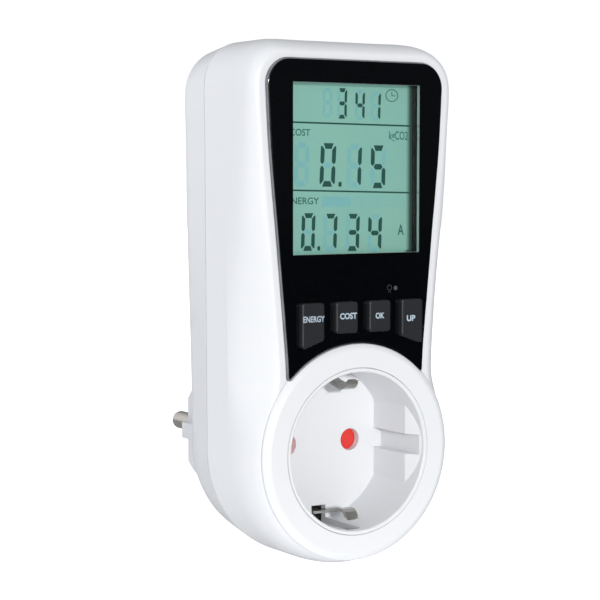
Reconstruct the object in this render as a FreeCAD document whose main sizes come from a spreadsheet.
# Plug-in power meter for the German two-pin earthed system.
#
# Frame: +X to the viewer's right, +Y into the wall (the way the plug goes in), +Z up.
# Origin: on the plug's end face, midway between the two plug pins.
# "Depth" in the sheet is counted rearwards from the flat front of the socket ring,
# so the row's y is depth minus plug_face_depth.
import FreeCAD, Part
import Sketcher
import math
import os
from FreeCAD import Vector, Placement, Rotation

doc = FreeCAD.newDocument("power_meter")
sheet = doc.addObject("Spreadsheet::Sheet", "params")

VALUES = [
    # overall depths, from the ring's flat front
    ("plug_face_depth", 57.0), ("rim_depth", 1.8), ("straight_depth", 14.0), ("seam_depth", 24.5),
    ("seam_gap", 0.2), ("rear_wall_depth", 38.0), ("shell_wall", 2.2), ("cavity_front_depth", 4.0),
    # outline of the case
    ("ring_flat_radius", 25.2), ("ring_rim_radius", 26.5), ("ring_radius", 29.1), ("side_half_low", 29.05),
    ("side_half_top", 29.5), ("head_top", 100.5), ("rim_top", 97.0), ("rim_corner", 7.9), ("case_corner", 10.8),
    ("rim_width", 1.6), ("rear_round", 3.2), ("rear_taper_low", 0.17), ("rear_taper_high", 0.07), ("rear_taper_top", 0.13), ("rear_taper_mid", 0.02),
    # black front panel: half widths at stations of height
    ("panel_depth", 1.0), ("panel_thick", 1.55), ("panel_gap", 0.1), ("panel_top", 95.4), ("panel_corner", 6.3),
    ("panel_arc_radius", 26.6), ("panel_tip_round", 1.5), ("panel_edge_round", 0.6),
    ("station_a", 19.6), ("half_a", 19.85), ("station_b", 24.0), ("half_b", 20.1), ("station_c", 31.5), ("half_c", 20.75),
    ("station_d", 38.0), ("half_d", 21.35), ("station_e", 46.5), ("half_e", 22.15), ("station_f", 54.7), ("half_f", 22.9),
    ("station_g", 61.5), ("half_g", 23.6), ("station_k", 76.0), ("half_k", 24.9), ("station_n", 88.7), ("half_n", 25.6),
    # display
    ("window_half", 18.5), ("window_low", 48.55), ("window_high", 89.8), ("window_gap", 0.05), ("lcd_depth", 4.2),
    ("lcd_thick", 1.8), ("lcd_half", 19.2), ("lcd_low", 46.6), ("lcd_high", 91.8), ("backlight_thick", 2.8),
    ("board_depth", 9.0), ("board_thick", 1.6), ("board_half", 21.8), ("board_low", 26.8), ("board_high", 96.4),
    # keys
    ("key_width", 6.4), ("key_pitch", 9.7), ("key_shift", 0.95), ("key_top", 37.0), ("key_inner_low", 29.3), ("key_outer_low_in", 27.9),
    ("key_outer_low_out", 25.7), ("key_proud", 1.5), ("key_slot_gap", 0.16), ("key_flange", 0.7), ("key_travel", 0.5),
    ("switch_height", 31.9), ("switch_side", 6.0), ("switch_front_depth", 6.6), ("plunger_radius", 1.6),
    # outlet
    ("cup_nose_radius", 20.55), ("cup_opening_radius", 20.65), ("cup_radius", 21.5), ("well_radius", 19.6),
    ("well_mouth_radius", 19.85), ("well_flat", 17.0), ("groove_half", 2.5), ("groove_reach", 19.2), ("well_depth", 18.5),
    ("cup_floor", 2.0), ("pin_half_pitch", 9.5), ("contact_hole_radius", 2.8), ("clip_slot_half", 2.1), ("clip_slot_low", 16.2),
    ("shutter_thick", 1.6), ("shutter_pad_radius", 3.55), ("stub_radius", 2.0), ("pivot_gap", 0.05),
    # contacts and earth
    ("sleeve_bore", 2.35), ("sleeve_wall", 0.65), ("earth_half", 1.8), ("earth_thick", 0.7), ("earth_radius", 18.0),
    # plug
    ("boss_radius", 19.0), ("boss_flat", 17.0), ("boss_wall", 2.1), ("rib_half", 2.15), ("pin_radius", 2.4),
    ("pin_length", 19.0), ("pin_shank_radius", 2.6), ("pin_hole_radius", 2.65), ("plug_strap_half", 4.0), ("plug_strap_thick", 0.8),
    # screws
    ("case_screw_x", 24.1), ("case_screw_low", 5.0), ("case_screw_high", 84.0), ("case_screw_head_radius", 2.15),
    ("screw_shank_radius", 1.1), ("pillar_radius", 2.35), ("screw_clear", 0.06),
]
VALUE = {}
for row, (alias, number) in enumerate(VALUES, start=1):
    sheet.set("A%d" % row, alias.replace("_", " "))
    sheet.set("B%d" % row, "%g" % number)
    sheet.setAlias("B%d" % row, alias)
    VALUE[alias] = float(number)
doc.recompute()


class Q:
    """A length that knows both its expression on the sheet and its present value."""

    def __init__(self, text, value):
        self.text, self.value = text, value

    def _join(self, other, sign, value, flip=False):
        a, b = (other, self) if flip else (self, other)
        return Q("(%s %s %s)" % (a.text, sign, b.text), value)

    def __add__(self, o):
        o = num(o); return self._join(o, "+", self.value + o.value)
    __radd__ = __add__

    def __sub__(self, o):
        o = num(o); return self._join(o, "-", self.value - o.value)

    def __rsub__(self, o):
        o = num(o); return self._join(o, "-", o.value - self.value, True)

    def __mul__(self, o):
        o = num(o); return self._join(o, "*", self.value * o.value)
    __rmul__ = __mul__

    def __neg__(self):
        return Q("(0 - %s)" % self.text, -self.value)


def num(x):
    if isinstance(x, Q):
        return x
    return Q("%.6f" % x if x >= 0 else "(0 - %.6f)" % -x, float(x))


def q(alias):
    return Q("params." + alias, VALUE[alias])


def dep(d):
    """Row y of a depth counted from the ring's flat front."""
    return num(d) - q("plug_face_depth")


def read(alias):
    return float(sheet.get(alias))


NODES = {}
counter = [0]


def fresh(stem):
    counter[0] += 1
    return "%s_%03d" % (stem, counter[0])


def body(label, keep=True):
    b = doc.addObject("PartDesign::Body", fresh(label))
    b.Label = label if keep else label + "_piece"
    if keep:
        NODES[label] = b
    return b


def origin_plane(b, role):
    for f in b.Origin.OriginFeatures:
        if f.Role == role:
            return f
    raise RuntimeError("no plane " + role)


SIGN = {"XY_Plane": 1, "XZ_Plane": -1, "YZ_Plane": 1}


def sketch(b, role, off=0):
    sk = b.newObject("Sketcher::SketchObject", fresh("sketch"))
    sk.AttachmentSupport = [(origin_plane(b, role), "")]
    sk.MapMode = "FlatFace"
    off = num(off)
    s = SIGN[role]
    sk.AttachmentOffset = Placement(Vector(0, 0, s * off.value), Rotation())
    sk.setExpression("AttachmentOffset.Base.z", off.text if s > 0 else (-off).text)
    return sk


def bind(sk, kind, args, size):
    name = fresh("size")
    i = sk.addConstraint(Sketcher.Constraint(kind, *(list(args) + [size.value])))
    sk.renameConstraint(i, name)
    sk.setExpression("Constraints." + name, size.text)


def pin_point(sk, geo, pos, u, v):
    for kind, axis, size in (("DistanceX", -2, u), ("DistanceY", -1, v)):
        if abs(size.value) < 1e-9:
            sk.addConstraint(Sketcher.Constraint("PointOnObject", geo, pos, axis))
        else:
            bind(sk, kind, (-1, 1, geo, pos), size)


def loop(sk, points):
    """A closed polygon whose corners are all placed from the sheet."""
    pts = [(num(a), num(b)) for a, b in points]
    n, ids = len(pts), []
    for i in range(n):
        a, b = pts[i], pts[(i + 1) % n]
        ids.append(sk.addGeometry(Part.LineSegment(Vector(a[0].value, a[1].value, 0), Vector(b[0].value, b[1].value, 0)), False))
    for i in range(n):
        sk.addConstraint(Sketcher.Constraint("Coincident", ids[i], 2, ids[(i + 1) % n], 1))
    for i in range(n):
        pin_point(sk, ids[i], 1, pts[i][0], pts[i][1])
    return ids


def disc(sk, u, v, r):
    u, v, r = num(u), num(v), num(r)
    g = sk.addGeometry(Part.Circle(Vector(u.value, v.value, 0), Vector(0, 0, 1), r.value), False)
    pin_point(sk, g, 3, u, v)
    bind(sk, "Radius", (g,), r)


def rect(sk, u0, v0, u1, v1):
    loop(sk, [(u0, v0), (u1, v0), (u1, v1), (u0, v1)])


def grow(b, kind, sk, length, reverse=False):
    f = b.newObject("PartDesign::" + kind, fresh(kind.lower()))
    f.Profile = sk
    length = num(length)
    f.Length = length.value
    f.setExpression("Length", length.text)
    f.Reversed = reverse
    sk.Visibility = False
    b.Tip = f
    return f


def add(b, draw, y0, y1):
    """Solid from depth y0 to y1 along the wall direction; draw fills the sketch."""
    sk = sketch(b, "XZ_Plane", dep(y1))
    draw(sk)
    return grow(b, "Pad", sk, num(y1) - num(y0))


def cut(b, draw, y0, y1):
    sk = sketch(b, "XZ_Plane", dep(y0))
    draw(sk)
    doc.recompute([b])
    before = b.Shape.Volume
    f = grow(b, "Pocket", sk, num(y1) - num(y0))
    doc.recompute([b])
    if not b.Shape.Volume < before - 1e-6:
        raise RuntimeError("pocket %s on %s cuts nothing" % (f.Name, b.Label))
    return f


def turned(b, profile, place=None):
    """Revolved solid about the Y direction; profile is [(radius, depth)...]."""
    sk = sketch(b, "XY_Plane")
    loop(sk, [(r, dep(d)) for r, d in profile])
    f = b.newObject("PartDesign::Revolution", fresh("turn"))
    f.Profile = sk
    f.ReferenceAxis = (sk, ["V_Axis"])
    f.Angle = 360
    sk.Visibility = False
    b.Tip = f
    if place:
        set_place(b, *place)
    return f


def set_place(o, x, z):
    x, z = num(x), num(z)
    o.Placement = Placement(Vector(x.value, 0, z.value), Rotation())
    o.setExpression("Placement.Base.x", x.text)
    o.setExpression("Placement.Base.z", z.text)


def edges_where(shape, test):
    return ["Edge%d" % (i + 1) for i, e in enumerate(shape.Edges) if test(e)]


def round_edges(b, radius, test):
    doc.recompute([b])
    base = b.Tip
    names = edges_where(base.Shape, test)
    if not names:
        raise RuntimeError("no edge to round on " + b.Label)
    f = b.newObject("PartDesign::Fillet", fresh("fillet"))
    f.Base = (base, names)
    radius = num(radius)
    f.Radius = radius.value
    f.setExpression("Radius", radius.text)
    b.Tip = f
    return f


def at_depth(d, tol=1e-4):
    y = dep(d).value
    return lambda e: abs(e.BoundBox.YMin - y) < tol and abs(e.BoundBox.YMax - y) < tol


def along_y(e):
    bb = e.BoundBox
    return bb.YLength > 0.2 and bb.XLength < 1e-4 and bb.ZLength < 1e-4


def group(label, pieces):
    c = doc.addObject("Part::Compound", fresh(label))
    c.Label = label
    c.Links = pieces
    NODES[label] = c
    return c


def prim(kind, name=None, **sizes):
    o = doc.addObject("Part::" + kind, fresh(name or kind.lower()))
    for key, val in sizes.items():
        val = num(val)
        setattr(o, key, val.value)
        o.setExpression(key, val.text)
    return o


def put(o, x, y, z, rot=None):
    x, y, z = num(x), num(y), num(z)
    o.Placement = Placement(Vector(x.value, y.value, z.value), rot or Rotation())
    o.setExpression("Placement.Base.x", x.text)
    o.setExpression("Placement.Base.y", y.text)
    o.setExpression("Placement.Base.z", z.text)
    return o


TO_REAR = Rotation(Vector(1, 0, 0), -90)


def rod(x, z, r, d0, d1):
    o = prim("Cylinder", Radius=r, Height=num(d1) - num(d0))
    return put(o, x, dep(d0), z, TO_REAR)


def brick(x0, z0, x1, z1, d0, d1):
    o = prim("Box", Length=num(x1) - num(x0), Width=num(d1) - num(d0), Height=num(z1) - num(z0))
    return put(o, x0, dep(d0), z0)


def shape_object(label, shape, keep=True):
    o = doc.addObject("Part::Feature", fresh(label))
    o.Shape = shape
    o.Placement = Placement()
    o.Label = label if keep else label + "_stock"
    if keep:
        NODES[label] = o
    return o


def fuse(name, pieces):
    o = doc.addObject("Part::MultiFuse", fresh(name))
    o.Shapes = pieces
    return o


def minus(label, base, tools, keep=True):
    t = tools[0] if len(tools) == 1 else fuse("tools", tools)
    o = doc.addObject("Part::Cut", fresh(label))
    o.Base, o.Tool = base, t
    o.Label = label if keep else label + "_cut"
    if keep:
        NODES[label] = o
    return o


# ---------------------------------------------------------------- case outline
R = read


def table(keys, vals, x):
    """Monotone cubic through the stations."""
    n = len(keys)
    if x <= keys[0]:
        return vals[0]
    if x >= keys[-1]:
        return vals[-1]
    h = [keys[i + 1] - keys[i] for i in range(n - 1)]
    d = [(vals[i + 1] - vals[i]) / h[i] for i in range(n - 1)]
    m = [d[0]] + [0.0 if d[i - 1] * d[i] <= 0 else 2 * d[i - 1] * d[i] / (d[i - 1] + d[i]) for i in range(1, n - 1)] + [d[-1]]
    for i in range(n - 1):
        if x <= keys[i + 1]:
            s = (x - keys[i]) / h[i]
            return (vals[i] * (1 + 2 * s) * (1 - s) ** 2 + m[i] * h[i] * s * (1 - s) ** 2
                    + vals[i + 1] * s * s * (3 - 2 * s) + m[i + 1] * h[i] * s * s * (s - 1))


LET = "abcdefgkn"
ST = [R("station_" + c) for c in LET]
HW = [R("half_" + c) for c in LET]


def panel_half(z):
    return table(ST, HW, z)


def waist_profile(z, ring, side_off):
    """Half width of the waisted front outline: ring circle blended into the tapering sides."""
    side = panel_half(max(z, ST[0])) + side_off
    side -= 0.06 * max(0.0, 16.0 - z) ** 1.5
    circle = math.sqrt(max(0.0, ring * ring - z * z))
    s = 1.5 * min(1.0, z / 9.0)
    return 0.5 * (circle + side + math.sqrt((circle - side) ** 2 + s * s))


NZ = [18, 24, 36, 49, 61, 75, 88]
NN = [1.45, 1.5, 1.7, 2.5, 4.6, 6.2, 10.5]
ZS = [2.5, 5, 7.5, 10, 12, 14, 16, 18, 20.5, 23, 26, 30, 35, 41, 48, 56, 64, 72, 80]


def front_point_rules(D, inset):
    """Half outline of the front shell at depth D, from the bottom round to the top centre."""
    rim, straight = R("rim_depth"), R("straight_depth")
    t = min(1.0, max(0.0, (D - rim) / (straight - rim)))
    ring18, ringS = R("ring_rim_radius"), R("ring_radius")
    ring = ring18 + (ringS - ring18) * (1 - (1 - t) ** 2.6) ** (1 / 1.35) - inset
    top = R("rim_top") + (R("head_top") - R("rim_top")) * (1 - (1 - t) ** 2.4) ** (1 / 1.4) - inset
    corner = R("rim_corner") + (R("case_corner") - R("rim_corner")) * (1 - (1 - t) ** 2.4) ** (1 / 1.4) - inset
    lowS, topS = R("side_half_low"), R("side_half_top")

    def half(z):
        a = waist_profile(z, ring18, R("rim_width"))
        b = max(math.sqrt(max(0.0, ringS ** 2 - z * z)) if z < 4 else 0.0, lowS + (topS - lowS) * z / 88.0)
        n = table(NZ, NN, z)
        m = 1.35 + 0.1 * min(1.0, z / 18.0)
        w = min(1.0, z / 18.0)
        n = 2.6 * (1 - w) + n * w
        return a + (b - a) * (1 - (1 - t) ** n) ** (1 / m) - inset
    return ring, top, corner, half


def rear_point_rules(D, inset):
    t = D - R("seam_depth")
    r = R("rear_round")
    e = D - (R("rear_wall_depth") - r)
    fil = r - math.sqrt(max(0.0, r * r - e * e)) if e > 0 else 0.0
    lowS, topS = R("side_half_low"), R("side_half_top")
    tl, th = R("rear_taper_low"), R("rear_taper_high")
    ring = R("ring_radius") - tl * t - fil - inset
    top = R("head_top") - R("rear_taper_top") * t - fil - inset
    corner = R("case_corner") - 0.6 * fil - inset

    def half(z):
        f = min(1.0, z / 60.0)
        f = f * f * (3 - 2 * f)
        base = max(math.sqrt(max(0.0, R("ring_radius") ** 2 - z * z)) if z < 4 else 0.0, lowS + (topS - lowS) * z / 88.0)
        mid = R("rear_taper_mid") * math.sin(math.pi * min(1.0, max(0.0, (z - 8.0) / 76.0)))
        return base - (tl + (th - tl) * f + mid) * t - fil - inset
    return ring, top, corner, half


def outline(D, inset, rules):
    ring, top, corner, half = rules(D, inset)
    pts = []
    for k in range(13):
        a = math.radians(-90 + 7.5 * k)
        pts.append((ring * math.cos(a), ring * math.sin(a)))
    zc = top - corner
    for z in ZS:
        pts.append((half(z), z))
    x1 = half(zc)
    for k in range(9):
        a = math.radians(11.25 * k)
        pts.append((x1 - corner + corner * math.cos(a), zc + corner * math.sin(a)))
    for f in (0.66, 0.33, 0.0):
        pts.append(((x1 - corner) * f, top))
    other = [(-x, z) for x, z in pts[-2:0:-1]]
    return pts + other


def knots():
    pts = outline(R("straight_depth"), 0.0, front_point_rules)
    out, total = [0.0], 0.0
    for i in range(len(pts)):
        a, b = pts[i], pts[(i + 1) % len(pts)]
        total += math.hypot(a[0] - b[0], a[1] - b[1])
        out.append(total)
    return [x / total for x in out]


KNOTS = knots()


def wire_at(D, inset, rules, as_at=None):
    pts = [Vector(x, (D if as_at is None else as_at) - R("plug_face_depth"), z) for x, z in outline(D, inset, rules)]
    curve = Part.BSplineCurve()
    curve.interpolate(Points=pts, PeriodicFlag=True, Parameters=KNOTS)
    return Part.Wire([curve.toShape()])


def loft(depths, inset, rules):
    """Closed solid skinned through the outlines at these depths, flat at both ends."""
    rows, grid, total = [], [], 0.0
    for D in depths:
        w = wire_at(D, inset, rules)
        c = w.Edges[0].Curve
        rows.append(c)
        grid.append(c.getPoles())
    n = len(grid[0])
    steps = [0.0]
    for j in range(1, len(grid)):
        step = sum((grid[j][i] - grid[j - 1][i]).Length for i in range(0, n, 3)) / len(range(0, n, 3))
        steps.append(steps[-1] + step)
    across = [x / steps[-1] for x in steps]
    poles, vk, vm, vd = [], None, None, 3
    for i in range(n):
        c = Part.BSplineCurve()
        c.interpolate(Points=[g[i] for g in grid], Parameters=across)
        poles.append(c.getPoles())
        vk, vm, vd = c.getKnots(), c.getMultiplicities(), c.Degree
    c0 = rows[0]
    surf = Part.BSplineSurface()
    surf.buildFromPolesMultsKnots(poles, c0.getMultiplicities(), vm, c0.getKnots(), vk, True, False, c0.Degree, vd)
    side = surf.toShape()
    caps = []
    for v in (0.0, 1.0):
        rim_edges = [e for e in side.Edges if abs(e.BoundBox.YLength) < 1e-5 and abs(e.BoundBox.YMin - (depths[0 if v == 0 else -1] - R("plug_face_depth"))) < 1e-4]
        caps.append(Part.Face(Part.Wire(rim_edges)))
    sewn = Part.makeCompound([side] + caps)
    sewn.sewShape()
    shell = sewn.Shells[0]
    solid = Part.makeSolid(shell)
    if not solid.isValid():
        solid.fix(1e-4, 1e-4, 1e-4)
    if solid.Volume < 0:
        solid.reverse()
    return solid


def slab(D, inset, rules, d0, d1):
    w = wire_at(D, inset, rules, d0)
    return Part.Face(w).extrude(Vector(0, d1 - d0, 0))


# ---------------------------------------------------------------- front shell
rim, straight, seam, gap = R("rim_depth"), R("straight_depth"), R("seam_depth"), R("seam_gap")
cav, wall = R("cavity_front_depth"), R("shell_wall")
skin_a = loft([rim, rim + 0.08, rim + 0.3, rim + 0.7, rim + 1.3, rim + 2.2, rim + 3.6, rim + 5.6, rim + 8.4, straight], 0.0, front_point_rules)
skin_b = slab(straight, 0.0, front_point_rules, straight, seam - gap / 2)
hollow_a = loft([cav, cav + 1.2, cav + 3.0, cav + 6.0, straight], wall, front_point_rules)
hollow_b = slab(straight, wall, front_point_rules, straight, seam)
lip_room = slab(straight, 1.0, front_point_rules, seam - 1.5, seam + 0.2)

# dome of the socket ring in front of the rim
Y0 = R("plug_face_depth")
rf, rr = R("ring_flat_radius"), R("ring_rim_radius") - 0.01
arc = Part.BSplineCurve()
arc.interpolate(Points=[Vector(rf, -Y0, 0), Vector(rf + 0.62, 0.22 - Y0, 0), Vector(rf + 1.25, 0.66 - Y0, 0), Vector(rf + 1.88, 1.24 - Y0, 0), Vector(rr, rim - Y0, 0)])
dome_wire = Part.Wire([arc.toShape(), Part.makeLine(Vector(rr, rim - Y0, 0), Vector(rr, rim + 0.6 - Y0, 0)),
                       Part.makeLine(Vector(rr, rim + 0.6 - Y0, 0), Vector(0, rim + 0.6 - Y0, 0)),
                       Part.makeLine(Vector(0, rim + 0.6 - Y0, 0), Vector(0, -Y0, 0)),
                       Part.makeLine(Vector(0, -Y0, 0), Vector(rf, -Y0, 0))])
dome = Part.Face(dome_wire).revolve(Vector(0, 0, 0), Vector(0, 1, 0), 360)

outer = skin_a.fuse([skin_b, dome])
outer = outer.removeSplitter() if outer.removeSplitter().isValid() else outer
shell_raw = outer.cut(hollow_a.fuse(hollow_b)).cut(lip_room)
front_stock = shape_object("front_shell", shell_raw, keep=False)


def panel_face(grow_by, d):
    """Black panel's outline: flat top with round corners, tapering sides, arc round the socket ring."""
    y = d - R("plug_face_depth")
    top, rc = R("panel_top") + grow_by, R("panel_corner") + grow_by
    ra = R("panel_arc_radius") - grow_by
    tip = R("panel_tip_round")
    zs = [ST[0] - 0.2 + (top - rc - ST[0] + 0.2) * i / 10.0 for i in range(11)]
    side = [Vector(panel_half(z) + grow_by, y, z) for z in zs]
    half_tip = side[0].x
    za = math.sqrt(ra * ra - (half_tip - tip) ** 2)
    start = Vector(half_tip - tip, y, za)
    c = Part.BSplineCurve()
    c.interpolate(Points=side)
    v = Part.BezierCurve()
    v.setPoles([start, Vector(half_tip - 0.35 * tip, y, za - 0.75 * tip), Vector(half_tip - 0.02, y, za - 0.35 * tip), side[0]])
    right = [v.toShape(), c.toShape(),
             Part.Arc(side[-1], Vector(side[-1].x - rc + rc * math.cos(math.pi / 4), y, top - rc + rc * math.sin(math.pi / 4)), Vector(side[-1].x - rc, y, top)).toShape()]
    left = [e.mirror(Vector(0, 0, 0), Vector(1, 0, 0)) for e in right]
    topline = Part.makeLine(Vector(side[-1].x - rc, y, top), Vector(-(side[-1].x - rc), y, top))
    low = Part.Arc(start, Vector(0, y, ra), Vector(-start.x, y, start.z)).toShape()
    return Part.Face(Part.Wire(Part.__sortEdges__(right + left + [topline, low])))


pd, pt, pg = R("panel_depth"), R("panel_thick"), R("panel_gap")
recess = shape_object("panel_recess", panel_face(pg, pd - 0.5).extrude(Vector(0, pt + 0.5 + 0.05, 0)), keep=False)


def key_outline(i, grow_by):
    """Corners of key i (0..3) in X, Z; the outer keys follow the arc of the socket ring."""
    cx = (i - 1.5) * q("key_pitch") + q("key_shift")
    h = q("key_width") * 0.5 + grow_by
    top = q("key_top") + grow_by
    if i in (1, 2):
        a = b = q("key_inner_low") - grow_by
    else:
        a, b = q("key_outer_low_in") - grow_by, q("key_outer_low_out") - grow_by
        if i == 0:
            a, b = b, a
    return [(cx - h, a), (cx + h, b), (cx + h, top), (cx - h, top)]


def prism(points, d0, d1, label):
    """Closed prism along the wall direction on corners taken from the sheet."""
    b = body(label, keep=False)
    add(b, lambda sk: loop(sk, points), d0, d1)
    return b


tools = [recess]
tools.append(rod(0, 0, q("cup_opening_radius"), -1, 6))
tools.append(rod(0, 0, q("cup_radius") + 0.1, 2, 6))
tools.append(brick(-q("lcd_half") - 0.4, q("lcd_low") - 0.4, q("lcd_half") + 0.4, q("lcd_high") + 0.4, 3.4, 7))
tools.append(brick(-q("window_half") - 0.5, q("window_low") - 0.5, q("window_half") + 0.5, q("window_high") + 0.5, 2, 7))
for i in range(4):
    tools.append(prism(key_outline(i, q("key_slot_gap") + 0.1), 2, 6, "key_slot"))
tools.append(rod(11.4, 39.8, 0.62, 2, 6))

pillars = []
for sx in (-1, 1):
    for zz in ("case_screw_low", "case_screw_high"):
        pillars.append(rod(sx * q("case_screw_x"), q(zz), q("pillar_radius"), 3.2, q("seam_depth") - 0.1))
for sx, zz in ((-1, 43.2), (1, 43.2)):
    pillars.append(rod(sx * 19.3, zz, 2.0, 3.2, q("board_depth")))
for sx in (-1, 1):
    pillars.append(rod(sx * 14.5, 94.3, 1.9, 3.2, q("board_depth")))
pillar_set = fuse("pillars", pillars)
inside = shape_object("front_inside", loft([rim, rim + 0.3, rim + 1.3, rim + 3.6, rim + 8.4, straight], 0.8, front_point_rules).fuse(slab(straight, 0.8, front_point_rules, straight, seam - 1.6)), keep=False)
trimmed = doc.addObject("Part::Common", fresh("pillar_trim"))
trimmed.Base, trimmed.Tool = pillar_set, inside
front_full = fuse("front_full", [front_stock, trimmed])
pilot = []
for sx in (-1, 1):
    for zz in ("case_screw_low", "case_screw_high"):
        pilot.append(rod(sx * q("case_screw_x"), q(zz), q("screw_shank_radius") + q("screw_clear"), 12, q("seam_depth") + 1))
for sx, zz in ((-1, 43.2), (1, 43.2)):
    pilot.append(rod(sx * 19.3, zz, 0.95 + q("screw_clear"), 4.6, q("board_depth") + 1))
for sx in (-1, 1):
    pilot.append(rod(sx * 14.5, 94.3, 0.95 + q("screw_clear"), 4.6, q("board_depth") + 1))
pilot.append(rod(0, 0, q("cup_radius") + 0.1, 2, 24))
front_shell = minus("front_shell", front_full, tools + pilot)

# ---------------------------------------------------------------- rear shell with the plug boss
rw = R("rear_wall_depth")
rear_d = [seam + gap / 2, 28, rw - 7, rw - 4.5, rw - 3.2, rw - 2.3, rw - 1.5, rw - 0.8, rw - 0.3, rw - 0.07, rw]
rear_skin = loft(rear_d, 0.0, rear_point_rules)
rear_hollow = loft([seam, 29, 33, rw - 2], wall, rear_point_rules)
lip = slab(straight, 1.15, front_point_rules, seam - 1.35, seam + 1.5).cut(slab(straight, wall + 0.1, front_point_rules, seam - 2, seam + 2))
inner_trim = loft([seam, 29, 33, rw - 0.8], 0.9, rear_point_rules)


def boss_shape(r, flat, d0, d1):
    y0 = R("plug_face_depth")
    c = Part.makeCylinder(r, d1 - d0, Vector(0, d0 - y0, 0), Vector(0, 1, 0))
    return c.common(Part.makeBox(2 * flat, d1 - d0, 4 * r, Vector(-flat, d0 - y0, -2 * r)))


bw = R("boss_wall")
boss = boss_shape(R("boss_radius"), R("boss_flat"), rw - 2, R("plug_face_depth"))
end_edges = [e for e in boss.Edges if abs(e.BoundBox.YMin) < 1e-6 and abs(e.BoundBox.YMax) < 1e-6]
boss = boss.makeFillet(0.8, end_edges)
well_cases = []
for sx in (-1, 1):
    for zz in (R("case_screw_low"), R("case_screw_high")):
        well_cases.append(Part.makeCylinder(3.3, 14.0, Vector(sx * R("case_screw_x"), seam + 0.1 - Y0, zz), Vector(0, 1, 0)).common(inner_trim))
ribs = []
for sx in (-1, 1):
    x0 = sx * (R("boss_flat") - 0.5)
    x1 = sx * R("boss_radius")
    rb = Part.makeBox(abs(x1 - x0), 57.0 - rw, 2 * R("rib_half"), Vector(min(x0, x1), rw - 0.5 - Y0, -R("rib_half")))
    ed = [e for e in rb.Edges if e.BoundBox.XLength < 1e-6 and abs(abs(e.BoundBox.XMin) - R("boss_radius")) < 1e-6]
    ribs.append(rb.makeFillet(0.5, ed))
body_rear = rear_skin.cut(rear_hollow).fuse([lip, boss] + ribs + well_cases)
boss_hollow = boss_shape(R("boss_radius") - bw, R("boss_flat") - bw, rw - 4, R("plug_face_depth") - 2.0)
rear_stock = shape_object("rear_shell", body_rear.cut(boss_hollow), keep=False)
rear_tools = []
for sx in (-1, 1):
    for zz in ("case_screw_low", "case_screw_high"):
        rear_tools.append(rod(sx * q("case_screw_x"), q(zz), q("case_screw_head_radius") + 0.25, 31, 42))
        rear_tools.append(rod(sx * q("case_screw_x"), q(zz), q("screw_shank_radius") + 0.25, 20, 34))
    rear_tools.append(rod(sx * q("pin_half_pitch"), 0, q("pin_hole_radius"), 50, 60))
    ps = q("plug_strap_half") + 0.15
    zz0, zz1 = (17.35, 20) if sx > 0 else (-20, -17.35)
    rear_tools.append(brick(-ps, zz0, ps, zz1, 43.5, 58))
    rear_tools.append(brick(-ps, min(zz0, sx * 15.0), ps, max(zz1 - 0.9 if sx > 0 else zz1, sx * 15.0 if sx < 0 else 0), 43.5, 44.9))
power_posts = [rod(x, z, 2.2, 28.65, 36.6) for x, z in ((-19.0, 33.0), (19.0, 33.0), (0.0, 92.0))]
rear_full = fuse("rear_full", [rear_stock] + power_posts)
for x, z in ((-19.0, 33.0), (19.0, 33.0), (0.0, 92.0)):
    rear_tools.append(rod(x, z, 0.95 + q("screw_clear"), 28, 35))
rear_shell = minus("rear_shell", rear_full, rear_tools)

# ---------------------------------------------------------------- front panel, window, light pipe
panel_solid = panel_face(0.0, pd).extrude(Vector(0, pt, 0))
pe = [e for e in panel_solid.Edges if abs(e.BoundBox.YMin - (pd - Y0)) < 1e-6 and abs(e.BoundBox.YMax - (pd - Y0)) < 1e-6]
panel_solid = panel_solid.makeFillet(R("panel_edge_round"), pe)
panel_stock = shape_object("fascia_panel", panel_solid, keep=False)
wh, wl, wt = q("window_half"), q("window_low"), q("window_high")
pcuts = [brick(-wh, wl, wh, wt, 0, 4), brick(-wh - 0.9, wl - 0.9, wh + 0.9, wt + 0.9, 1.95, 4), rod(11.4, 39.8, 0.6, 0, 4)]
for i in range(4):
    pcuts.append(prism(key_outline(i, q("key_slot_gap")), 0, 4, "panel_slot"))
fascia = minus("fascia_panel", panel_stock, pcuts)

wg = q("window_gap")
b = body("display_window")
add(b, lambda sk: rect(sk, -wh + wg, wl + wg, wh - wg, wt - wg), pd, 2.5)
add(b, lambda sk: rect(sk, -wh - 0.85, wl - 0.85, wh + 0.85, wt + 0.85), 2.0, 2.5)

b = body("led_light_pipe")
turned(b, [(0, 1.0), (0.55, 1.0), (0.55, 5.6), (1.1, 5.6), (1.1, 7.1), (0, 7.1)], (11.4, 39.8))

# ---------------------------------------------------------------- display stack
ld, lt = q("lcd_depth"), q("lcd_thick")
b = body("lcd_glass")
add(b, lambda sk: rect(sk, -q("lcd_half"), q("lcd_low") + 2.4, q("lcd_half"), q("lcd_high")), ld, ld + lt * 0.5)
add(b, lambda sk: rect(sk, -q("lcd_half"), q("lcd_low"), q("lcd_half"), q("lcd_high")), ld + lt * 0.5, ld + lt)
b = body("lcd_backlight")
add(b, lambda sk: rect(sk, -q("lcd_half") + 0.3, q("lcd_low") + 3.0, q("lcd_half") - 0.3, q("lcd_high") - 0.2), ld + lt + 0.05, q("board_depth") - 0.15)
for sx in (-1, 1):
    add(b, lambda sk, sx=sx: rect(sk, sx * 15.0 - 1.0, 60, sx * 15.0 + 1.0, 62), q("board_depth") - 0.3, q("board_depth") - 0.02)
b = body("zebra_strip")
add(b, lambda sk: rect(sk, -q("lcd_half") + 1.0, q("lcd_low") + 0.3, q("lcd_half") - 1.0, q("lcd_low") + 2.5), ld + lt, q("board_depth"))

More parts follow.
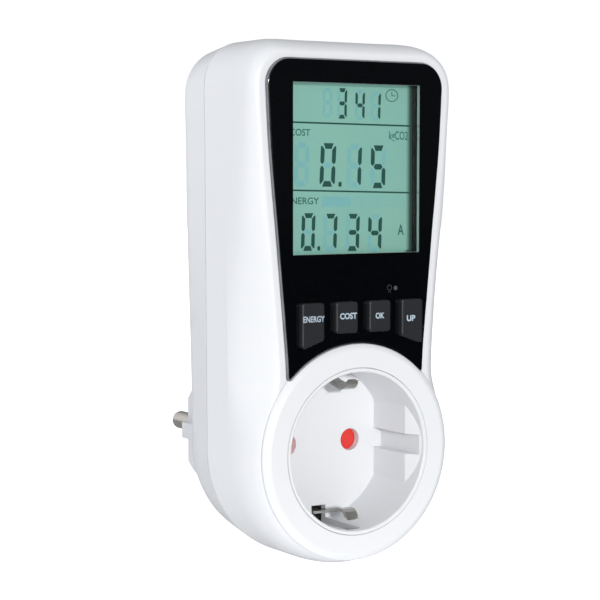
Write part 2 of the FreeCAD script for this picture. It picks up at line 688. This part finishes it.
b = body("display_board")
bh, bl, bt = q("board_half"), q("board_low"), q("board_high")
bd0, bd1 = q("board_depth"), q("board_depth") + q("board_thick")
add(b, lambda sk: loop(sk, [(-bh + 3, bl), (bh - 3, bl), (bh, bl + 3), (bh, 86 - 3.0), (bh - 3.5, bt), (-bh + 3.5, bt), (-bh, 86 - 3.0), (-bh, bl + 3)]), bd0, bd1)


def board_holes(sk):
    for sx in (-1, 1):
        disc(sk, sx * 19.3, 43.2, 1.1)
        disc(sk, sx * 14.5, 94.3, 1.1)


cut(b, board_holes, bd0 - 1, bd1 + 1)

# ---------------------------------------------------------------- keys, plungers, switches
NAMES = ["energy", "cost", "ok", "up"]
proud = q("panel_depth") - q("key_proud")
for i, nm in enumerate(NAMES):
    b = body("key_" + nm)
    add(b, lambda sk: loop(sk, key_outline(i, 0)), proud, 4.15)
    round_edges(b, 0.8, lambda e: along_y(e))
    round_edges(b, 0.45, at_depth(proud))
    add(b, lambda sk: loop(sk, key_outline(i, q("key_flange"))), 4.15, 5.0)
    cx = (i - 1.5) * q("key_pitch") + q("key_shift")
    add(b, lambda sk: disc(sk, cx, q("switch_height"), 1.4), 4.9, 5.9)
    b = body("switch_plunger_" + nm)
    add(b, lambda sk: disc(sk, cx, q("switch_height"), q("plunger_radius")), 5.9, 7.7)
    round_edges(b, 0.25, at_depth(5.9))
switch_parts = []
for i, nm in enumerate(NAMES):
    cx = (i - 1.5) * q("key_pitch") + q("key_shift")
    s = body("switch_" + nm, keep=False)
    hs = q("switch_side") * 0.5
    add(s, lambda sk: rect(sk, cx - hs, q("switch_height") - hs, cx + hs, q("switch_height") + hs), q("switch_front_depth"), bd0)
    cut(s, lambda sk: disc(sk, cx, q("switch_height"), q("plunger_radius") + 0.08), q("switch_front_depth") - 0.5, 8.4)
    switch_parts.append(s)
group("tact_switches", switch_parts)

# ---------------------------------------------------------------- parts on the display board
b = body("controller_chip")
add(b, lambda sk: rect(sk, -6, 50, 6, 62), bd1 + 0.1, bd1 + 1.6)
for k in range(10):
    z = 51.15 + k * 1.07
    add(b, lambda sk: rect(sk, -7.2, z, 7.2, z + 0.5), bd1, bd1 + 0.5)
b = body("battery_holder")
add(b, lambda sk: rect(sk, -9.5, 67, 9.5, 86), bd1, bd1 + 4.2)
cut(b, lambda sk: disc(sk, 0, 76.5, 8.15), bd1 + 0.8, bd1 + 5)
b = body("coin_cell")
turned(b, [(0, 11.45), (7.0, 11.45), (7.0, 11.75), (8.0, 11.75), (8.0, 14.55), (0, 14.55)], (0, 76.5))
b = body("indicator_led")
add(b, lambda sk: rect(sk, 10.2, 38.9, 12.6, 40.7), 8.4, bd0)
add(b, lambda sk: disc(sk, 11.4, 39.8, 0.8), 7.2, 8.45)

# ---------------------------------------------------------------- outlet cup
fl0, fl1 = q("well_depth"), q("well_depth") + q("cup_floor")
b = body("socket_cup", keep=False)
cup_stock = b
turned(b, [(0, 0), (q("cup_nose_radius"), 0), (q("cup_nose_radius"), 2.05), (q("cup_radius"), 2.05), (q("cup_radius"), fl1), (0, fl1)])


def well(sk):
    """Round well cut off by two flats, each with a guide groove."""
    r, f, g, o = q("well_radius"), q("well_flat"), q("groove_half"), q("groove_reach")
    rv, fv, gv, ov = r.value, f.value, g.value, o.value
    zf = math.sqrt(rv * rv - fv * fv)
    top = sk.addGeometry(Part.ArcOfCircle(Part.Circle(Vector(0, 0, 0), Vector(0, 0, 1), rv), math.atan2(zf, fv), math.atan2(zf, -fv)), False)
    low = sk.addGeometry(Part.ArcOfCircle(Part.Circle(Vector(0, 0, 0), Vector(0, 0, 1), rv), math.atan2(-zf, -fv), math.atan2(-zf, fv)), False)
    for a in (top, low):
        sk.addConstraint(Sketcher.Constraint("Coincident", a, 3, -1, 1))
        bind(sk, "Radius", (a,), r)

    def run(p):
        return [sk.addGeometry(Part.LineSegment(Vector(p[i][0], p[i][1], 0), Vector(p[i + 1][0], p[i + 1][1], 0)), False) for i in range(len(p) - 1)]
    right = run([(fv, zf), (fv, gv), (ov, gv), (ov, -gv), (fv, -gv), (fv, -zf)])
    left = run([(-fv, -zf), (-fv, -gv), (-ov, -gv), (-ov, gv), (-fv, gv), (-fv, zf)])
    for c in (right, left):
        for i in range(4):
            sk.addConstraint(Sketcher.Constraint("Coincident", c[i], 2, c[i + 1], 1))
        for i in (0, 2, 4):
            sk.addConstraint(Sketcher.Constraint("Vertical", c[i]))
        for i in (1, 3):
            sk.addConstraint(Sketcher.Constraint("Horizontal", c[i]))
    sk.addConstraint(Sketcher.Constraint("Coincident", top, 1, right[0], 1))
    sk.addConstraint(Sketcher.Constraint("Coincident", right[4], 2, low, 2))
    sk.addConstraint(Sketcher.Constraint("Coincident", low, 1, left[0], 1))
    sk.addConstraint(Sketcher.Constraint("Coincident", left[4], 2, top, 2))
    for c, s in ((right, 1), (left, -1)):
        bind(sk, "DistanceX", (-1, 1, c[0], 1), s * f)
        bind(sk, "DistanceX", (-1, 1, c[4], 2), s * f)
        bind(sk, "DistanceX", (-1, 1, c[2], 1), s * o)
        bind(sk, "DistanceY", (-1, 1, c[1], 1), s * g)
        bind(sk, "DistanceY", (-1, 1, c[3], 1), -s * g)


cut(b, well, -1, fl0)


def mouth(b):
    sk = sketch(b, "XY_Plane")
    loop(sk, [(0, dep(-0.3)), (q("well_mouth_radius") + 0.3, dep(-0.3)), (q("well_mouth_radius") - 0.25, dep(0.25)), (0, dep(0.25))])
    f = b.newObject("PartDesign::Groove", fresh("mouth"))
    f.Profile = sk
    f.ReferenceAxis = (sk, ["V_Axis"])
    f.Angle = 360
    b.Tip = f


mouth(b)


def holes(sk):
    for sx in (-1, 1):
        disc(sk, sx * q("pin_half_pitch"), 0, q("contact_hole_radius"))


cut(b, holes, fl0 - 0.5, fl1 + 1)
cs, cl = q("clip_slot_half"), q("clip_slot_low")
cut(b, lambda sk: rect(sk, -cs, cl, cs, 23), 2.3, fl1 + 1)
cut(b, lambda sk: rect(sk, -cs, -23, cs, -cl), 2.3, fl1 + 1)
add(b, lambda sk: disc(sk, 0, 0, q("stub_radius")), fl1 - 0.2, 24.6)
for sx in (-1, 1):
    add(b, lambda sk: disc(sk, sx * 17.0, 0, 2.0), fl1 - 0.2, 24.0)
    cut(b, lambda sk: disc(sk, sx * 17.0, 0, 0.95 + q("screw_clear")), 20.2, 25)

# slanted lead-ins where the mouth runs onto the two flats
lead_d, lead_x = 4.6, 2.6
slope = math.degrees(math.atan2(-(lead_d - 0.95), lead_x))
ux, ud = math.cos(math.radians(slope)), math.sin(math.radians(slope))
lead_ins = []
for sx in (-1, 1):
    chock = prim("Box", "lead_in", Length=7.5, Width=3.0, Height=24.0)
    if sx > 0:
        put(chock, q("well_flat") - 2 * ux + 3 * ud, dep(lead_d) - 2 * ud - 3 * ux, -12.0, Rotation(Vector(0, 0, 1), slope))
    else:
        put(chock, -q("well_flat") + 2 * ux, dep(lead_d) - 2 * ud, -12.0, Rotation(Vector(0, 0, 1), -180 - slope))
    both = doc.addObject("Part::MultiCommon", fresh("lead_in_room"))
    both.Shapes = [chock, rod(0, 0, q("well_radius"), -1, 6.5)]
    lead_ins.append(both)
minus("socket_cup", cup_stock, lead_ins)

# ---------------------------------------------------------------- child shutter and its spring
sh0 = fl1 + 0.2
sh1 = sh0 + q("shutter_thick")
b = body("child_shutter")
add(b, lambda sk: disc(sk, 0, 0, 4.2), sh0, sh1)
for sx in (-1, 1):
    add(b, lambda sk: disc(sk, sx * q("pin_half_pitch"), 0, q("shutter_pad_radius")), sh0, sh1)
add(b, lambda sk: rect(sk, -q("pin_half_pitch"), -2.2, q("pin_half_pitch"), 2.2), sh0, sh1)
cut(b, lambda sk: disc(sk, 0, 0, q("stub_radius") + q("pivot_gap")), sh0 - 1, sh1 + 1)

b = body("shutter_spring")
sk = sketch(b, "XY_Plane")
disc(sk, 2.95, dep(22.62), 0.22)
doc.recompute([b])
f = b.newObject("PartDesign::AdditiveHelix", fresh("coil"))
f.Profile = sk
f.ReferenceAxis = (sk, ["V_Axis"])
f.Mode = 0
f.Pitch = 0.5
f.Height = 0.75
f.Angle = 0
b.Tip = f

# ---------------------------------------------------------------- contact carrier and contacts
b = body("contact_carrier")
add(b, lambda sk: rect(sk, -14.4, -8, 14.4, 8), 23.6, 35)
for sx in (-1, 1):
    add(b, lambda sk: rect(sk, min(sx * 14.0, sx * 19.2), -2.4, max(sx * 14.0, sx * 19.2), 2.4), 24.05, 26.0)
cut(b, lambda sk: disc(sk, 0, 0, 3.6), 23.0, 24.9)


def sleeve_room(sk):
    for sx in (-1, 1):
        disc(sk, sx * q("pin_half_pitch"), 0, 3.3)


cut(b, sleeve_room, 23.0, 36)


def tab_room(sk):
    for sx in (-1, 1):
        rect(sk, sx * q("pin_half_pitch") - 2.3, 2.0, sx * q("pin_half_pitch") + 2.3, 8.5)


cut(b, tab_room, 25.9, 36)


def ear_holes(sk):
    for sx in (-1, 1):
        disc(sk, sx * 17.0, 0, 1.15)


cut(b, ear_holes, 23, 27)


def small_screw(label, x, z, head_front, tip, head_r=1.9, head_h=1.3, shank=0.95):
    """Pan-head screw with a cross recess; runs along the wall direction from its head to its tip."""
    s = body(label, keep=False)
    d = 1 if tip > head_front else -1
    hf = num(head_front)
    hb = head_front + d * head_h
    turned(s, [(0, hf), (head_r * 0.72, hf), (head_r, head_front + d * head_h * 0.45), (head_r, hb), (shank, hb),
               (shank, tip - d * 0.8), (shank * 0.35, tip), (0, tip)])
    lo, hi = sorted((head_front - d * 0.2, head_front + d * head_h * 0.6))
    w = head_r * 0.16
    l = head_r * 0.62
    cut(s, lambda sk: loop(sk, [(-w, -l), (w, -l), (w, -w), (l, -w), (l, w), (w, w), (w, l), (-w, l), (-w, w), (-l, w), (-l, -w), (-w, -w)]), lo, hi)
    set_place(s, x, z)
    return s


group("contact_screws", [small_screw("contact_screw", sx * 17.0, 0, 27.3, 20.9) for sx in (-1, 1)])
group("board_screws", [small_screw("board_screw", x, z, 11.9, 5.6) for x, z in ((-19.3, 43.2), (19.3, 43.2), (-14.5, 94.3), (14.5, 94.3))]
      + [small_screw("board_screw", x, z, 25.75, 32.5) for x, z in ((-19.0, 33.0), (19.0, 33.0), (0.0, 92.0))])
group("case_screws", [small_screw("case_screw", sx * q("case_screw_x"), q(zz), 32.62, 15.0, 2.15, 1.6, 1.1)
                      for sx in (-1, 1) for zz in ("case_screw_low", "case_screw_high")])

for nm, sx in (("live_contact", -1), ("neutral_contact", 1)):
    b = body(nm)
    cx = sx * q("pin_half_pitch")
    sb, sw = q("sleeve_bore"), q("sleeve_wall")
    add(b, lambda sk: disc(sk, cx, 0, sb + sw), 23.9, 38.0)
    add(b, lambda sk: rect(sk, cx - 2.0, 2.0, cx + 2.0, 29.5), 26.2, 26.95)
    cut(b, lambda sk: disc(sk, cx, 0, sb), 23, 39)
    cut(b, lambda sk: rect(sk, cx - 0.4, -4, cx + 0.4, -1), 23, 39)

# ---------------------------------------------------------------- earth parts
eh, et, er = q("earth_half"), q("earth_thick"), q("earth_radius")
b = body("earth_bracket")
for s in (-1, 1):
    z0, z1 = (er - et * 0.5, er + et * 0.5) if s > 0 else (-er - et * 0.5, -er + et * 0.5)
    add(b, lambda sk: rect(sk, -eh, z0, eh, z1), 21.4, 35.9)
add(b, lambda sk: rect(sk, -eh, -er - et * 0.5, eh, er + et * 0.5), 35.1, 35.9)
b = body("earth_link")
turned(b, [(0, 35.9), (1.5, 35.9), (1.5, 43.9), (0, 43.9)])


def clip_profile(s):
    """Bent strip in Y, Z: root behind the floor, sloping inwards to the crest, then out again to the rounded tip."""
    line = [(21.2, 18.0), (17.5, 17.75), (12.5, 16.7), (8.0, 15.55), (6.2, 15.2), (5.0, 15.25), (4.2, 15.75), (3.55, 16.6), (3.1, 17.35)]
    up, low = [], []
    for i, (d, z) in enumerate(line):
        a = line[max(0, i - 1)]
        c = line[min(len(line) - 1, i + 1)]
        tx, tz = c[0] - a[0], c[1] - a[1]
        l = math.hypot(tx, tz)
        nx, nz = -tz / l, tx / l
        up.append((dep(d) + nx * 0.5 * et, s * (z + nz * 0.5 * et)))
        low.append((dep(d) - nx * 0.5 * et, s * (z - nz * 0.5 * et)))
    return up + low[::-1]


for nm, s in (("earth_clip_upper", 1), ("earth_clip_lower", -1)):
    b = body(nm)
    sk = sketch(b, "YZ_Plane", -eh)
    loop(sk, clip_profile(s))
    grow(b, "Pad", sk, eh * 2)
    tip = sketch(b, "XZ_Plane", dep(2.9))
    r0, za, zb = 1.1, s * 16.0, s * 17.9
    for sx in (-1, 1):
        loop(tip, [(sx * (eh + 0.1), za), (sx * (eh + 0.1), zb), (sx * (eh - r0), zb), (sx * (eh - 0.45), s * 17.1), (sx * eh, s * 16.5)])
    f = grow(b, "Pocket", tip, 0.95)

b = body("plug_earth_strap")
ph, pth = q("plug_strap_half"), q("plug_strap_thick")
for s in (-1, 1):
    z0, z1 = (17.75, 17.75 + pth) if s > 0 else (-17.75 - pth, -17.75)
    add(b, lambda sk: rect(sk, -ph, z0, ph, z1), 43.9, 56.4)
add(b, lambda sk: rect(sk, -ph, -17.75 - pth, ph, 17.75 + pth), 43.9, 44.7)
round_edges(b, 0.6, lambda e: e.BoundBox.YLength < 1e-4 and abs(e.BoundBox.YMax - dep(56.4).value) < 1e-4 and abs(e.BoundBox.ZMax) > 18.4 and e.BoundBox.ZLength < 1e-4 or
            e.BoundBox.YLength < 1e-4 and abs(e.BoundBox.YMax - dep(56.4).value) < 1e-4 and e.BoundBox.ZMin < -18.4 and e.BoundBox.ZLength < 1e-4)

# ---------------------------------------------------------------- plug pins and their carrier
end = q("plug_face_depth")
pr = q("pin_radius")
for nm, sx in (("plug_pin_left", -1), ("plug_pin_right", 1)):
    b = body(nm)
    turned(b, [(0, 40.6), (1.7, 40.6), (1.7, 46.4), (3.1, 46.4), (3.1, 47.6), (q("pin_shank_radius"), 47.6), (q("pin_shank_radius"), end),
               (pr, end), (pr, end + q("pin_length")), (0, end + q("pin_length"))],
           (sx * q("pin_half_pitch"), 0))
    round_edges(b, 1.7, at_depth(end.value + VALUE["pin_length"]))

b = body("pin_carrier")
add(b, lambda sk: rect(sk, -13.9, -8.2, 13.9, 8.2), 47.7, 54.9)


def carrier_holes(sk):
    for sx in (-1, 1):
        disc(sk, sx * q("pin_half_pitch"), 0, q("pin_hole_radius"))


cut(b, carrier_holes, 47, 56)

# ---------------------------------------------------------------- mains side
b = body("power_board")
pb0, pb1 = 27.05, 28.6
add(b, lambda sk: loop(sk, [(-21.8, 28.0), (21.8, 28.0), (21.8, 79.0), (18.0, 94.5), (-18.0, 94.5), (-21.8, 79.0)]), pb0, pb1)


def power_holes(sk):
    for x, z in ((-19.0, 33.0), (19.0, 33.0), (0.0, 92.0)):
        disc(sk, x, z, 1.1)


cut(b, power_holes, 26, 30)
b = body("x2_capacitor")
add(b, lambda sk: rect(sk, -17.5, 62, 0.5, 70.5), 15.5, 27.05)
round_edges(b, 0.6, along_y)
b = body("electrolytic_capacitor")
turned(b, [(0, 15.2), (4.6, 15.2), (5.0, 15.6), (5.0, 25.6), (4.7, 26.0), (4.7, 26.4), (5.0, 26.8), (5.0, 27.05), (0, 27.05)], (9.5, 66.0))
b = body("varistor")
sk = sketch(b, "YZ_Plane", -14.0)
disc(sk, dep(20.6), 51.0, 5.2)
grow(b, "Pad", sk, 4.0)
for z in (48.5, 53.0):
    add(b, lambda sk: rect(sk, -12.4, z, -11.6, z + 0.8), 24.0, 27.05)
b = body("shunt_resistor")
sk = sketch(b, "XY_Plane", 41.0)
loop(sk, [(4, dep(27.05)), (4, dep(21.5)), (16, dep(21.5)), (16, dep(27.05)), (15, dep(27.05)), (15, dep(22.5)), (5, dep(22.5)), (5, dep(27.05))])
grow(b, "Pad", sk, 2.4)

b = body("board_cable")
sk = sketch(b, "YZ_Plane", -5.0)
loop(sk, [(dep(10.6), 88.6), (dep(18.5), 88.6), (dep(18.5), 85.6), (dep(27.05), 85.6), (dep(27.05), 86.5), (dep(19.4), 86.5), (dep(19.4), 89.5), (dep(10.6), 89.5)])
grow(b, "Pad", sk, 10.0)


def insulated(label, points, r):
    """Insulated wire along a smooth run through points (x, depth, z)."""
    c = Part.BSplineCurve()
    c.interpolate(Points=[Vector(x, d - R("plug_face_depth"), z) for x, d, z in points])
    path = Part.Wire([c.toShape()])
    p0 = c.value(c.FirstParameter)
    t0 = c.tangent(c.FirstParameter)[0]
    ring = Part.Wire([Part.makeCircle(r, p0, t0)])
    s = path.makePipeShell([ring], True, True)
    return shape_object(label, s)


hp = R("pin_half_pitch")
run_up = [(42.6, 2.75), (41.9, 6.8), (39.1, 9.8), (35.9, 11.9), (33.4, 15.7), (31.5, 21.7), (30.2, 28.5), (29.6, 35.0)]
insulated("live_wire", [(-hp, d, z) for d, z in run_up], 0.95)
insulated("neutral_wire", [(hp, d, z) for d, z in run_up], 0.95)

# ---------------------------------------------------------------- recompute, test, write
doc.recompute()
bad = []
for o in doc.Objects:
    if "Invalid" in o.State or "Error" in o.State:
        bad.append("%s (%s) of %s: %s" % (o.Name, o.Label, ",".join(p.Label for p in o.InList), o.getStatusString()))
for label, o in NODES.items():
    s = o.Shape
    if s.isNull() or not s.isValid() or not s.Solids or s.Volume <= 0:
        bad.append("shape of %s" % label)
if bad:
    raise RuntimeError("failed objects: " + "; ".join(bad))

os.makedirs("parts", exist_ok=True)
for label, o in NODES.items():
    o.Shape.exportStep(os.path.join("parts", label + ".step"))
    print("%-26s solids %d  volume %9.1f" % (label, len(o.Shape.Solids), o.Shape.Volume))
print(len(NODES), "sub-parts")
